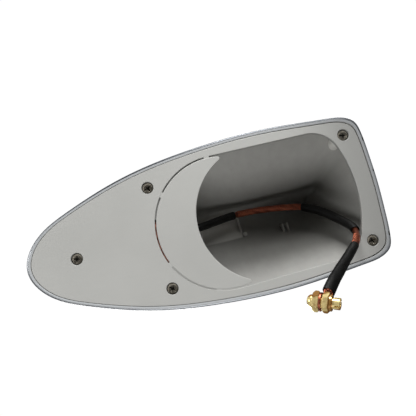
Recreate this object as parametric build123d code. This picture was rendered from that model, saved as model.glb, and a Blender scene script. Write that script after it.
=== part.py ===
from build123d import *
import os
from math import cos, hypot, pi, radians, tan

# A fin-shaped roof antenna cover with its base plate and its inner lead, in millimetres.
# It is laid out from the middle of its length: +X to the nose, +Z up into the fin.
# The flat underside is z = 0.
# When a piece is written it moves, so that the origin lies on the underside,
# midway between the nose screw and the line of the middle pair of screws.

# Outer shell: half of its plan outline, nose to tail, and the level sections of the fin
LENGTH = 165.0
HALF_LENGTH = LENGTH / 2
HALF_WIDTH = 37.1
OUTLINE = [
    (82.5, 0),
    (77.0, 11.6),
    (59.5, 21.8),
    (32.5, 30.75),
    (-2.0, 36.1),
    (-38.0, HALF_WIDTH),
    (-67.0, 34.8),
    (-75.6, 33.2),
    (-79.6, 30.4),
    (-81.3, 25.0),
    (-82.1, 14.0),
    (-82.5, 0),
]
LIP_LEVELS = [(0.0, 1.0), (0.33, 0.33), (1.1, 0.0)]
LIP_TOP = LIP_LEVELS[-1][0]
# Each section: height, nose x, tail x, half width
SECTIONS = [
    (LIP_TOP, 82.5, -82.5, HALF_WIDTH),
    (6.0, 80.3, -82.3, 36.4),
    (12.0, 67.5, -80.8, 32.6),
    (21.0, 43.0, -77.7, 26.0),
    (32.0, 16.5, -73.8, 19.4),
    (44.0, -10.3, -69.5, 13.9),
    (54.0, -32.6, -66.1, 9.6),
    (60.0, -47.5, -64.2, 6.4),
]
CROWN = [
    SECTIONS[-1],
    (61.2, -50.2, -63.75, 5.75),
    (62.2, -52.9, -63.15, 4.8),
    (62.9, -55.7, -62.2, 3.4),
    (63.2, -58.4, -60.8, 1.5),
]
LEAST_HOLLOW = 0.5
WALL = 2.05
ROOF_DROP = 1.3
MOUTH_DEPTH = 1.0

# Screws: the nose one, the middle pair and the tail pair
NOSE_SCREW_X = 59.7
MIDDLE_SCREW_X, MIDDLE_SCREW_Y = 21.4, 23.5
TAIL_SCREW_X, TAIL_SCREW_Y = -72.6, 25.25
HALF_SCREWS = [(MIDDLE_SCREW_X, MIDDLE_SCREW_Y), (TAIL_SCREW_X, TAIL_SCREW_Y)]
SCREWS = [(NOSE_SCREW_X, 0.0), *HALF_SCREWS, *[(x, -y) for x, y in HALF_SCREWS]]
ORIGIN_X = (NOSE_SCREW_X + MIDDLE_SCREW_X) / 2
COUNTERBORE_D = 5.4
COUNTERBORE_DEPTH = 2.6
SEAT_D = 8.6
SEAT_Z = 4.4
CLEARANCE_D = 3.0
HEAD_D = 4.9
HEAD_H = 1.7
HEAD_EDGE = 0.4
SHANK_D = 2.6
SHANK_TIP_Z = 11.5
RECESS_SPAN = 2.9
RECESS_WIDTH = 0.75
RECESS_DEPTH = 1.1
BOSS_D = 6.8
BOSS_TOP = 24.0
PILOT_D = 2.7
PILOT_TOP = 12.5

# Base plate, its rear opening, and the crescent panel held on bridges
PLATE_T = 2.4
PLATE_INSET = 2.4
ROUND_X = -8.1
ROUND_R = 30.9
OPENING_TAIL_X = -72.2
OPENING_END = (-64.3, 29.85)
OPENING_CORNER_R = 14.0
SLIT = 0.65
CRESCENT_CUT_X = -28.3
CRESCENT_CUT_R = 31.7
CRESCENT_TIP_X = -14.0
CRESCENT_TIP_R = 0.6
BRIDGE_WIDTH = 2.5
BRIDGE_T = 1.4
BRIDGE_REACH = 1.5
BRIDGE_ANGLES = (90, 37.9, -25.2, -72.5)
RIB_T = 1.2
RIB_TOP = 4.2
RIB_MARGIN = 1.6
SPINE_X = (26.0, 56.0)
CROSS_RIBS = [(30.0, 21.0), (50.0, 15.5)]

# Moulded details on the inside of the roof
ROOF_RIB_X = -19.2
ROOF_RIB_T = 1.1
ROOF_RIB_Z = 43.2
POST_X, POST_Y = -20.9, -7.0
POST_D = 2.2
POST_Z = 40.5
TWIN_RIBS_X = (-42.0, -44.6)
TWIN_RIB_Y = (-12.0, -6.4)
TWIN_RIB_T = 0.9
TWIN_RIB_Z = 44.0
DETAIL_TOP = 60.0

# Copper antenna plate, standing on pads and pins of the base plate
ANTENNA_X = (14.0, 51.0)
ANTENNA_HALF_WIDTH = 12.0
ANTENNA_T = 0.4
ANTENNA_CORNER = 3.0
ANTENNA_Z = 7.0
PINS = [(30.0, 9.0), (30.0, -9.0), (47.0, 6.5), (47.0, -6.5)]
PIN_D = 2.2
PIN_HOLE_D = 2.4
PIN_TOP = 8.6
PAD_D = 4.6
SOLDER_D = 6.8
SOLDER_H = 2.6

# Lead: the route of its middle line, from the solder joint to the ring
BRAID_D = 3.4
SLEEVE_GAP = 0.05
ROUTE = [
    (24.5, 0.6, 9.3),
    (13.5, 0.4, 13.4),
    (3.2, 1.0, 19.4),
    (-6.4, 2.3, 26.6),
    (-16.9, 3.7, 32.5),
    (-30.0, 3.4, 37.4),
    (-44.5, 1.5, 38.8),
    (-54.5, -1.2, 33.9),
    (-61.0, -7.0, 24.2),
    (-65.6, -13.5, 13.2),
    (-67.3, -17.6, 5.0),
    (-65.4, -21.4, -2.4),
    (-61.0, -25.0, -9.0),
    (-53.7, -29.2, -16.6),
    (-46.7, -33.2, -25.0),
    (-41.6, -35.6, -32.2),
    (-37.7, -38.6, -36.8),
]
ARC_SHARE = 0.45
# Each sleeve: its diameter, then where it starts and ends as shares of the lead's length
SLEEVES = {
    "sleeve_front": (3.9, 0.02, 0.285),
    "sleeve_middle": (4.4, 0.48, 0.702),
    "sleeve_end": (4.4, 0.782, 0.996),
}

# Adapter on the lead's end. Places along its axis count from the ring's middle.
ADAPTER_AT = (-33.0, -40.5, -42.0)
ADAPTER_AXIS = (-0.844, -0.307, -0.442)
TOWARDS_LEAD = (-0.527, 0.311, 0.791)
RING_T = 1.0
RING_D = 7.2
RING_HOLE_D = 4.6
TONGUE_WIDTH = 3.2
TONGUE_END = 6.95
STUD_D = 4.5
NUT_FLATS = 7.0
NUT_T = 2.4
NUT_BORE_D = 4.52
NUT_CHAMFER = 0.5
NUT_GAP = 0.4
FLANGE_D = 6.2
FLANGE_T = 1.0
SOCKET_L = 3.0
SOCKET_BORE_D = 2.6
SOCKET_BORE_DEPTH = 3.2
SOCKET_SLOT = 0.7
SOCKET_SLOT_DEPTH = 1.9
END_D = 4.9
END_L = 2.3
END_TAPER = 1.2


def half_wire(z, nose, tail, half_width, inset=0.0):
    """Level outline of the +Y half, scaled from OUTLINE, closed by a line on the middle plane.

    Every section gives its spline the same parameters, so lofts between them stay light.
    """
    runs = [hypot(b[0] - a[0], b[1] - a[1]) for a, b in zip(OUTLINE, OUTLINE[1:])]
    total = sum(runs)
    shares = [sum(runs[:i]) / total for i in range(len(OUTLINE))]
    along = (nose - tail - 2 * inset) / LENGTH
    across = (half_width - inset) / HALF_WIDTH
    middle = (nose + tail) / 2
    points = [Vector(middle + x * along, y * across, z) for x, y in OUTLINE]
    slope = Vector(0, total * across, 0)
    side = Edge.make_spline(points, tangents=[slope, -slope], parameters=shares, scale=False)
    return Wire([side, Edge.make_line(points[-1], points[0])])


def lip_wire(z, inset):
    return half_wire(z, HALF_LENGTH, -HALF_LENGTH, HALF_WIDTH, inset)


def half_fin(inset=0.0, drop=0.0):
    """+Y half of the fin's form above its lip. An inset and a drop give the form of its hollow."""
    lofts = []
    for levels in (SECTIONS, CROWN):
        kept = [level for level in levels if level[3] > inset + LEAST_HOLLOW]
        lofts.append(Solid.make_loft([half_wire(z - drop, nose, tail, w, inset) for z, nose, tail, w in kept]))
    return lofts[0] + lofts[1]


def z_cylinder(x, y, diameter, low, high):
    return Pos(x, y, (low + high) / 2) * Cylinder(diameter / 2, high - low)


def z_box(x0, x1, y0, y1, z0, z1):
    return Pos((x0 + x1) / 2, (y0 + y1) / 2, (z0 + z1) / 2) * Box(x1 - x0, y1 - y0, z1 - z0)


def both_halves(half):
    return half + mirror(half, Plane.XZ)


def make_shell():
    """Painted shell: the fin's wall, a boss for each screw, and small details under the roof."""
    lip = Solid.make_loft([lip_wire(z, inset) for z, inset in LIP_LEVELS], ruled=True)
    outer = lip + half_fin()
    mouth = Solid.make_loft([lip_wire(-MOUTH_DEPTH, WALL), lip_wire(LIP_TOP, WALL)], ruled=True)
    half = outer - mouth - half_fin(WALL, ROOF_DROP)
    for x, y in [(NOSE_SCREW_X, 0.0), *HALF_SCREWS]:
        half += z_cylinder(x, y, BOSS_D, SEAT_Z, BOSS_TOP) & outer
    rib = z_box(ROOF_RIB_X - ROOF_RIB_T / 2, ROOF_RIB_X + ROOF_RIB_T / 2, 0, HALF_WIDTH, ROOF_RIB_Z, DETAIL_TOP)
    shell = both_halves(half + (rib & outer))
    lower = mirror(outer, Plane.XZ)
    shell += z_cylinder(POST_X, POST_Y, POST_D, POST_Z, DETAIL_TOP) & lower
    for x in TWIN_RIBS_X:
        shell += z_box(x - TWIN_RIB_T / 2, x + TWIN_RIB_T / 2, *TWIN_RIB_Y, TWIN_RIB_Z, DETAIL_TOP) & lower
    for x, y in SCREWS:
        shell -= z_cylinder(x, y, PILOT_D, SEAT_Z - 1, PILOT_TOP)
    return shell


def opening_face(margin=0.0):
    """Outline of the big rear opening, with the crescent's place in it."""
    end_x, end_y = OPENING_END
    edges = [
        ThreePointArc((ROUND_X, ROUND_R), (ROUND_X + ROUND_R, 0), (ROUND_X, -ROUND_R)),
        Line((ROUND_X, -ROUND_R), (end_x, -end_y)),
        ThreePointArc((end_x, -end_y), (OPENING_TAIL_X, 0), (end_x, end_y)),
        Line((end_x, end_y), (ROUND_X, ROUND_R)),
    ]
    face = make_face(edges)
    corners = face.vertices().sort_by(Axis.X)[:2]
    face = fillet(corners, OPENING_CORNER_R)
    return offset(face, margin) if margin else face


def crescent_face():
    """Crescent panel: a disc cut away by a larger one, with blunt rounded tips."""
    disc = Pos(ROUND_X, 0) * Circle(ROUND_R - SLIT)
    cut = Pos(CRESCENT_CUT_X, 0) * Circle(CRESCENT_CUT_R)
    keep = Pos(CRESCENT_TIP_X + ROUND_R, 0) * Rectangle(2 * ROUND_R, 2 * ROUND_R)
    panel = (disc - cut) & keep
    tips = [v for v in panel.vertices() if abs(v.X - CRESCENT_TIP_X) < SLIT]
    return fillet(tips, CRESCENT_TIP_R)


def make_plate():
    """Base plate with its opening, crescent, screw seats, hidden ribs, pads and pins."""
    outline = Face(lip_wire(0, PLATE_INSET))
    plate = both_halves(extrude(outline, PLATE_T, dir=(0, 0, 1)))
    plate -= extrude(opening_face(), PLATE_T)
    plate += extrude(crescent_face(), PLATE_T)
    for angle in BRIDGE_ANGLES:
        bridge = Pos(ROUND_R, 0, BRIDGE_T / 2) * Box(2 * BRIDGE_REACH, BRIDGE_WIDTH, BRIDGE_T)
        plate += Pos(ROUND_X, 0, 0) * Rot(0, 0, angle) * bridge
    rim = opening_face(RIB_MARGIN + RIB_T) - opening_face(RIB_MARGIN)
    plate += Pos(0, 0, PLATE_T) * extrude(rim, RIB_TOP - PLATE_T)
    plate += z_box(*SPINE_X, -RIB_T / 2, RIB_T / 2, PLATE_T, RIB_TOP)
    for x, reach in CROSS_RIBS:
        plate += z_box(x - RIB_T / 2, x + RIB_T / 2, -reach, reach, PLATE_T, RIB_TOP)
    for x, y in PINS:
        plate += z_cylinder(x, y, PAD_D, PLATE_T, ANTENNA_Z)
        plate += z_cylinder(x, y, PIN_D, ANTENNA_Z, PIN_TOP)
    for x, y in SCREWS:
        plate += z_cylinder(x, y, SEAT_D, PLATE_T, SEAT_Z)
    for x, y in SCREWS:
        plate -= z_cylinder(x, y, COUNTERBORE_D, 0, COUNTERBORE_DEPTH)
        plate -= z_cylinder(x, y, CLEARANCE_D, COUNTERBORE_DEPTH, SEAT_Z)
    return plate


def one_screw():
    """Pan-head screw with a cross recess, head down at its seat, shank up."""
    head_z = COUNTERBORE_DEPTH - HEAD_H
    head = z_cylinder(0, 0, HEAD_D, head_z, COUNTERBORE_DEPTH)
    head = fillet(head.edges().sort_by(Axis.Z)[:1], HEAD_EDGE)
    recess = Pos(0, 0, head_z + RECESS_DEPTH / 2) * (
        Box(RECESS_SPAN, RECESS_WIDTH, RECESS_DEPTH) + Box(RECESS_WIDTH, RECESS_SPAN, RECESS_DEPTH)
    )
    shank = z_cylinder(0, 0, SHANK_D, COUNTERBORE_DEPTH, SHANK_TIP_Z)
    shank = chamfer(shank.edges().sort_by(Axis.Z)[-1:], SHANK_D / 4)
    return head + shank - recess


def make_screws():
    """Five like screws, each turned by its own angle."""
    screw = one_screw()
    turns = (20, 65, 10, 40, 75)
    return Compound([Pos(x, y, 0) * Rot(0, 0, turn) * screw for (x, y), turn in zip(SCREWS, turns)])


def make_antenna_plate():
    """Thin copper sheet with rounded corners and a hole for each pin."""
    x0, x1 = ANTENNA_X
    sheet = z_box(x0, x1, -ANTENNA_HALF_WIDTH, ANTENNA_HALF_WIDTH, ANTENNA_Z, ANTENNA_Z + ANTENNA_T)
    sheet = fillet(sheet.edges().filter_by(Axis.Z), ANTENNA_CORNER)
    for x, y in PINS:
        sheet -= z_cylinder(x, y, PIN_HOLE_D, ANTENNA_Z, ANTENNA_Z + ANTENNA_T)
    return sheet


def route_radii():
    """As large an arc at each corner of the route as its two runs allow."""
    places = [Vector(*p) for p in ROUTE]
    radii = []
    for before, corner, after in zip(places, places[1:], places[2:]):
        turn = radians((corner - before).get_angle(after - corner))
        shorter = min((corner - before).length, (after - corner).length)
        radii.append(ARC_SHARE * shorter / tan(turn / 2))
    return radii


def lead_path():
    return FilletPolyline(*ROUTE, radius=route_radii())


def tube(path, diameter):
    start = Plane(origin=path @ 0, z_dir=path % 0)
    return sweep(start * Circle(diameter / 2), path=path)


def make_lead(path):
    """Copper braid from end to end, and the three sleeves that cover it in places."""
    pieces = {"lead_conductor": tube(path, BRAID_D)}
    for name, (diameter, first, last) in SLEEVES.items():
        stretch = Wire(path.edges()).trim(first, last)
        pieces[name] = tube(stretch, diameter) - tube(stretch, BRAID_D + 2 * SLEEVE_GAP)
    return pieces


def make_solder(braid):
    """Mound of solder on the antenna plate, round the braid's first end."""
    x, y, _ = ROUTE[0]
    low = ANTENNA_Z + ANTENNA_T
    mound = z_cylinder(x, y, SOLDER_D, low, low + SOLDER_H)
    mound = fillet(mound.edges().sort_by(Axis.Z)[-1:], SOLDER_H * 0.8)
    return mound - braid


def adapter_plane():
    """Plane with Z along the adapter's axis and X towards the lead."""
    return Plane(origin=ADAPTER_AT, x_dir=TOWARDS_LEAD, z_dir=ADAPTER_AXIS)


def make_nut(low):
    """Hexagon nut with both faces chamfered at the corners."""
    corner_r = NUT_FLATS / 2 / cos(pi / 6)
    blank = extrude(RegularPolygon(corner_r, 6), NUT_T)
    turned = Cylinder(corner_r, NUT_T, align=(Align.CENTER, Align.CENTER, Align.MIN))
    turned = chamfer(turned.edges().filter_by(GeomType.CIRCLE), NUT_CHAMFER)
    bore = Cylinder(NUT_BORE_D / 2, 2 * NUT_T, align=(Align.CENTER, Align.CENTER, Align.CENTER))
    return Pos(0, 0, low) * ((blank & turned) - Pos(0, 0, NUT_T / 2) * bore)


def make_adapter():
    """Ring terminal, stud and the two nuts that clamp the ring, on the adapter's plane."""
    half_ring = RING_T / 2
    nut_b_low = half_ring + NUT_GAP
    flange_low = nut_b_low + NUT_T
    socket_low = flange_low + FLANGE_T
    socket_high = socket_low + SOCKET_L
    end_high = -half_ring - NUT_T
    end_low = end_high - END_L

    stud = z_cylinder(0, 0, STUD_D, end_high, socket_high)
    stud += z_cylinder(0, 0, FLANGE_D, flange_low, socket_low)
    tail = z_cylinder(0, 0, END_D, end_low, end_high)
    stud += fillet(tail.edges().sort_by(Axis.Z)[:1], END_TAPER)
    stud -= z_cylinder(0, 0, SOCKET_BORE_D, socket_high - SOCKET_BORE_DEPTH, socket_high)
    slot_low = socket_high - SOCKET_SLOT_DEPTH
    for turn in (0, 90):
        slot = z_box(-STUD_D, STUD_D, -SOCKET_SLOT / 2, SOCKET_SLOT / 2, slot_low, socket_high)
        stud -= Rot(0, 0, turn) * slot

    ring = z_cylinder(0, 0, RING_D, -half_ring, half_ring)
    ring += z_box(0, TONGUE_END, -TONGUE_WIDTH / 2, TONGUE_WIDTH / 2, -half_ring, half_ring)
    ring -= z_cylinder(0, 0, RING_HOLE_D, -half_ring, half_ring)
    pieces = {
        "adapter_stud": stud,
        "ring_terminal": ring,
        "clamp_nut_a": make_nut(end_high),
        "clamp_nut_b": make_nut(nut_b_low),
    }
    place = adapter_plane()
    return {name: place * piece for name, piece in pieces.items()}


def main():
    path = lead_path()
    print("lead length", round(path.length, 1))
    print("arc radii", [round(r, 1) for r in route_radii()])
    pieces = {"outer_shell": make_shell(), "base_plate": make_plate(), "base_screws": make_screws()}
    pieces["antenna_plate"] = make_antenna_plate()
    pieces.update(make_lead(path))
    braid = pieces["lead_conductor"]
    print("braid volume over section times length", round(braid.volume / (pi * BRAID_D**2 / 4 * path.length), 4))
    pieces["solder_joint"] = make_solder(braid)
    pieces.update(make_adapter())
    os.makedirs("parts", exist_ok=True)
    for name, piece in pieces.items():
        export_step(Pos(-ORIGIN_X, 0, 0) * piece, f"parts/{name}.step")


main()
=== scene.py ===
"""Dresses the fin-shaped antenna cover: shell, base plate, screws, inner lead and its adapter.

Shapes are worked out in millimetres on the part's plan, with X from the middle of its length to
the nose and Z up into the fin, and are put into the frame in metres by place().
"""

import bmesh
import bpy
import numpy as np
from mathutils import Matrix, Vector


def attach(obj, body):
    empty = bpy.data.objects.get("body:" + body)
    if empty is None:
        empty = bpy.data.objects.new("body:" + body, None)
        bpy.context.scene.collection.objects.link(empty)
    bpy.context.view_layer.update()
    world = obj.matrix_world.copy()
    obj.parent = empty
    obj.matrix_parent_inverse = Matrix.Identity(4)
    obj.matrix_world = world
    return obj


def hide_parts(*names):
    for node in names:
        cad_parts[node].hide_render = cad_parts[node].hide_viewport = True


bl_info = {
    "name": "Fin antenna cover",
    "version": (1, 0, 0),
    "blender": (4, 5, 0),
    "location": "View3D > Sidebar > Antenna cover",
    "description": "Builds the looks of a fin-shaped antenna cover round its CAD frame",
    "category": "Object",
}

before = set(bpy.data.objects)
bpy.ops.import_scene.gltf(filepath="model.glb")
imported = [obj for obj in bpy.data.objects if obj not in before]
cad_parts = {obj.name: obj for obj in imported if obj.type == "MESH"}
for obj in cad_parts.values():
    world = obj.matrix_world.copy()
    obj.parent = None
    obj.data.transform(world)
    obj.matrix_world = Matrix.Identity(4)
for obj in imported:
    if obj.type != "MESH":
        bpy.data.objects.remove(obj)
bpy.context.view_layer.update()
MM = 0.001
ORIGIN_X = 40.55

# The fin: half of its plan outline, then each level's height, nose, tail and half width. The
# slopes say how fast those change at the first and the last level.
LENGTH = 165.0
HALF_WIDTH = 37.1
OUTLINE = np.array([
    (82.5, 0.0), (77.0, 11.6), (59.5, 21.8), (32.5, 30.75), (-2.0, 36.1), (-38.0, 37.1),
    (-67.0, 34.8), (-75.6, 33.2), (-79.6, 30.4), (-81.3, 25.0), (-82.1, 14.0), (-82.5, 0.0),
])
LEVELS = np.array([
    (1.1, 82.5, -82.5, 37.1), (6.0, 80.3, -82.3, 36.4), (12.0, 67.5, -80.8, 32.6),
    (21.0, 43.0, -77.7, 26.0), (32.0, 16.5, -73.8, 19.4), (44.0, -10.3, -69.5, 13.9),
    (54.0, -32.6, -66.1, 9.6), (60.0, -47.5, -64.2, 6.4),
])
LEVEL_SLOPES = (0.0, 0.0, 0.0), (-2.15, 0.3, -0.46)
CROWN = np.array([
    (60.0, -47.5, -64.2, 6.4), (61.2, -50.2, -63.75, 5.75), (62.2, -52.9, -63.15, 4.8),
    (62.9, -55.7, -62.2, 3.4), (63.2, -58.4, -60.8, 1.5),
])
CROWN_SLOPES = (1.25, -2.69, 0.38, -0.575), (0.05, -2.6, 1.7, -2.3)

# Heights and insets of the fin's lip, crown, roof, wall and screw bosses, in mm
LIP_TOP = 1.1
LIP_INSET = 1.0
CROWN_BASE = 60.0
ROOF_DROP = 1.3
MID_WALL = 1.0
BOSS_R = 3.4
BOSS_LOW = 4.4
BOSS_TOPS = (13.5, 20.0, 20.0, 20.0, 20.0)

# Where paint is chipped off the tail's rim, in mm, with each chip's radius in metres
CHIPS = [((-81.4, 21.3, 0.7), 0.0015), ((-82.2, 5.9, 0.7), 0.0013), ((-81.3, -24.0, 0.7), 0.0017)]

# The pocket in front of the roof's rib, painted paler as painted light: an axis, where it is still
# dark and where it is pale
LIT_POCKET = [
    ("X", -0.0603, -0.0597), ("X", -0.034, -0.039),
    ("Y", -0.0088, -0.0078), ("Y", 0.006, -0.002), ("Z", 0.028, 0.038),
]

# The base plate in mm, its opening, and the crescent in it on its bridges
PLATE_T = 2.4
PLATE_INSET = 2.4
NOSE_INSET = PLATE_INSET - 0.17
PLATE_MIDDLE_X = -25.0
ROUND_X = -8.1
ROUND_R = 30.9
OPENING_TAIL_X = -72.2
OPENING_END = (-64.3, 29.85)
OPENING_CORNER_R = 14.0
CRESCENT_CUT_X = -28.3
CRESCENT_CUT_R = 31.7
CRESCENT_TIP_X = -14.0
TIP_SHARE = 0.02
BRIDGE_ANGLES = (90.0, 37.9, -25.2, -72.5)
BRIDGE_HALF_WIDTH = 1.25
BRIDGE_HOLD = 0.9

# What lies in the slit round the crescent: two angles in degrees and a depth in mm
TAPE = (14, -24.4, 0.45)
WEBS = [(88.4, 39.6, 0.75), (36.2, 16.0, 0.75), (-26.2, -71.4, 0.3), (-73.6, -96.0, 0.12)]

# Each screw's place in mm and its turn in degrees, the radius of its hole and the flare of the
# hole's mouth in mm, and how far, in metres, the painted highlight rims of the heads lie off their
# axes
SCREWS = [
    (59.7, 0.0, 20), (21.4, 23.5, 65), (21.4, -23.5, 40), (-72.6, 25.25, 10), (-72.6, -25.25, 75),
]
SEAT_R = 2.7
SEAT_FLARE = 0.25
HIGHLIGHT_SHIFT = (0.00015, 0.00048)

# The lead's route, in metres on the part's own frame, as the part's source gives it
ROUTE = [
    (-0.01605, 0.0006, 0.0093), (-0.02705, 0.0004, 0.0134), (-0.03735, 0.0010, 0.0194),
    (-0.04695, 0.0023, 0.0266), (-0.05745, 0.0037, 0.0325), (-0.07055, 0.0034, 0.0374),
    (-0.08505, 0.0015, 0.0388), (-0.09505, -0.0012, 0.0339), (-0.10155, -0.0070, 0.0242),
    (-0.10615, -0.0135, 0.0132), (-0.10785, -0.0176, 0.0050), (-0.10595, -0.0214, -0.0024),
    (-0.10155, -0.0250, -0.0090), (-0.09425, -0.0292, -0.0166), (-0.08725, -0.0332, -0.0250),
    (-0.08215, -0.0356, -0.0322), (-0.07825, -0.0386, -0.0368),
]
BRAID_D = 3.4

# Where braid shows, in shares of the lead, and each sleeve: its two ends in such shares, its
# widths and heights in mm from end to end, the lean of its oval, and its random seed. Wall and
# wave are the thickness and the unevenness of all of them, in mm.
BARE = [(0.0, 0.03), (0.275, 0.54), (0.735, 0.808), (0.985, 1.0)]
SLEEVES = {
    "sleeve_front": (0.02, 0.264, (3.9, 3.9, 4.1), (3.85, 3.85, 4.0), 0, 3),
    "sleeve_middle": (0.48, 0.702, (4.4, 4.5, 4.55, 4.4), (4.3, 4.4, 4.4, 4.2), 20, 5),
    "sleeve_end": (
        0.782, 0.996, (4.0, 4.3, 4.75, 5.05, 5.15), (3.95, 3.95, 3.85, 3.8, 3.75), 32, 8
    ),
}
SLEEVE_WALL = 0.22
SLEEVE_WAVE = 0.022

# The adapter in mm: its place and directions, then its nuts, stud, socket and ring
ADAPTER_AT = (-33.0, -40.5, -42.0)
ADAPTER_AXIS = (-0.844, -0.307, -0.442)
TOWARDS_LEAD = (-0.527, 0.311, 0.791)
NUT_FLAT = 3.5
NUT_CORNER = 4.04
NUT_T = 2.4
THREAD_R = 2.14
THREAD_DEPTH = 0.1
SOCKET_RADII = (1.3, 2.25)
SOCKET_LOW = 5.2
SOCKET_TOP = 7.3
RING_R = 2.98

# The camera under the cover: its place, its directions right, up and forward, and its lens
CAMERA_AT = (-0.030857, -0.013716, -0.244880)
CAMERA_RIGHT = Vector((-0.96787, -0.24983, -0.02864))
CAMERA_UP = Vector((-0.24605, 0.96436, -0.09733))
CAMERA_FORWARD = Vector((-0.05194, 0.08716, 0.99484))
SENSOR = 36.0
LENS = SENSOR * 540 / 416

# Each lamp under the cover: its place, diameter and watts. Each sun over it: where it stands and
# its strength. All of them point at the open tail.
LAMPS = [
    ("key", (0.34, 0.12, -0.16), 0.20, 0.81),
    ("rake", (-0.10, 0.32, -0.075), 0.12, 1.18),
    ("fill", (-0.20, 0.42, -0.20), 0.30, 1.02),
    ("high", (-0.30, 0.36, -0.30), 0.25, 0.56),
    ("low", (0.0, -0.36, -0.26), 0.30, 1.18),
    ("low_nose", (0.22, -0.30, -0.26), 0.25, 0.13),
]
SUNS = [("sun_left", (0.15, -0.36, 0.92), 1.6), ("sun_right", (-0.30, 0.28, 0.90), 1.3)]
LIT_SPOT = Vector((-0.05, 0, 0))

# The floor's height and half width in metres, and how bright the camera sees the surroundings
FLOOR_Z = -0.42
FLOOR_HALF = 8.0
WHITE_SURROUNDINGS = 1.02


# ---------------------------------------------------------------- curves and grids


def clamped_curve(knots, values, first, last):
    """The smooth cubic through rows of values at knots, whose end slopes are first and last.

    Its inner slopes solve the usual tridiagonal equations, which make the curvature run through.
    """
    gap = np.diff(knots)[:, None]
    rise = np.diff(values, axis=0) / gap
    inner = np.arange(1, len(knots) - 1)
    system = np.eye(len(knots))
    system[inner, inner - 1] = gap[1:, 0]
    system[inner, inner] = 2 * (gap[1:, 0] + gap[:-1, 0])
    system[inner, inner + 1] = gap[:-1, 0]
    right = 3 * (gap[1:] * rise[:-1] + gap[:-1] * rise[1:])
    slopes = np.linalg.solve(system, np.vstack([first, right, last]))

    def curve(at):
        at = np.asarray(at, float)
        i = np.clip(np.searchsorted(knots, at, side="right") - 1, 0, len(knots) - 2)
        width = gap[i]
        t = (at - knots[i])[..., None] / width
        return (
            (1 + 2 * t) * (1 - t) ** 2 * values[i]
            + t * (1 - t) ** 2 * width * slopes[i]
            + t * t * (3 - 2 * t) * values[i + 1]
            + t * t * (t - 1) * width * slopes[i + 1]
        )

    return curve


def half_outline(count=181):
    """Places on the outline's +Y half at even length shares; it meets the middle plane squarely."""
    runs = np.hypot(*np.diff(OUTLINE, axis=0).T)
    shares = np.concatenate([[0.0], np.cumsum(runs)]) / runs.sum()
    curve = clamped_curve(shares, OUTLINE, (0.0, runs.sum()), (0.0, -runs.sum()))
    return curve(np.linspace(0, 1, count))


HALF_OUTLINE = half_outline()
FULL_OUTLINE = np.concatenate([HALF_OUTLINE, HALF_OUTLINE[-2:0:-1] * (1, -1)])
LEVEL_AT = clamped_curve(LEVELS[:, 0], LEVELS[:, 1:], *LEVEL_SLOPES)
CROWN_AT = clamped_curve(np.arange(5.0), CROWN, *CROWN_SLOPES)


def turns(count):
    """Angles that go once round in even steps."""
    return np.arange(count) * 2 * np.pi / count


def stacked(x, y, z):
    """A grid of points from coordinates that may stay the same along rows or columns."""
    return np.stack(np.broadcast_arrays(x, y, z), -1)


def place(points):
    """Plan millimetres to the frame's metres."""
    return (np.asarray(points, float) - (ORIGIN_X, 0, 0)) * MM


def scaled_outline(z, nose, tail, half_width, inset, share=1.0):
    """The outline at height z, scaled to a nose, tail and half width, less inset, and by share."""
    along = share * (nose - tail - 2 * inset) / LENGTH
    across = share * (half_width - inset) / HALF_WIDTH
    x, y = FULL_OUTLINE.T
    return stacked((nose + tail) / 2 + x * along, y * across, float(z))


def level(z, inset, put_at=None):
    """The closed outline at height z below the crown, put at another height where one is given."""
    form = LEVEL_AT(np.clip(z, LIP_TOP, CROWN_BASE))
    return scaled_outline(z if put_at is None else put_at, *form, inset)


def crown(steps, inset, drop):
    """Outlines over the crown from its base, 0, to its peak, 4, ending in a flat cap's middle."""
    rings = [(z - drop, *form, inset) for z, *form in CROWN_AT(steps)]
    cap = [scaled_outline(*rings[-1], share) for share in (0.5, 0.0)]
    return [scaled_outline(*ring) for ring in rings] + cap


def wall_reach(x, z):
    """Half width of the fin to the middle of its wall, at places x and heights z."""
    nose, tail, half_width = np.moveaxis(LEVEL_AT(np.clip(z, LIP_TOP, CROWN_BASE)), -1, 0)
    on_outline = (x - (nose + tail) / 2) * LENGTH / (nose - tail - 2 * MID_WALL)
    reach = np.interp(on_outline, *HALF_OUTLINE[::-1].T, left=0.0, right=0.0)
    return reach * (half_width - MID_WALL) / HALF_WIDTH


def surface(points, wrap_rows=True, finish=0):
    """One closed surface for piece(): its grid's points, faces, and each face's finish number."""
    rows, columns = points.shape[:2]
    i = np.arange(rows if wrap_rows else rows - 1)[:, None]
    j = np.arange(columns)[None, :]
    i2, j2 = (i + 1) % rows, (j + 1) % columns
    corners = [i * columns + j, i2 * columns + j, i2 * columns + j2, i * columns + j2]
    faces = np.stack(np.broadcast_arrays(*corners), -1).reshape(-1, 4)
    return points.reshape(-1, 3), faces, np.broadcast_to(finish, len(faces))


def capped_tube(rows):
    """A tube of rings as one closed surface: each end gets a point at its ring's middle."""
    first, last = (np.broadcast_to(ring.mean(0), ring.shape)[None] for ring in (rows[0], rows[-1]))
    return surface(np.concatenate([first, rows, last]), wrap_rows=False)


def shown(name, data):
    """A new object, in the scene."""
    made = bpy.data.objects.new(name, data)
    bpy.context.scene.collection.objects.link(made)
    return made


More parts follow.
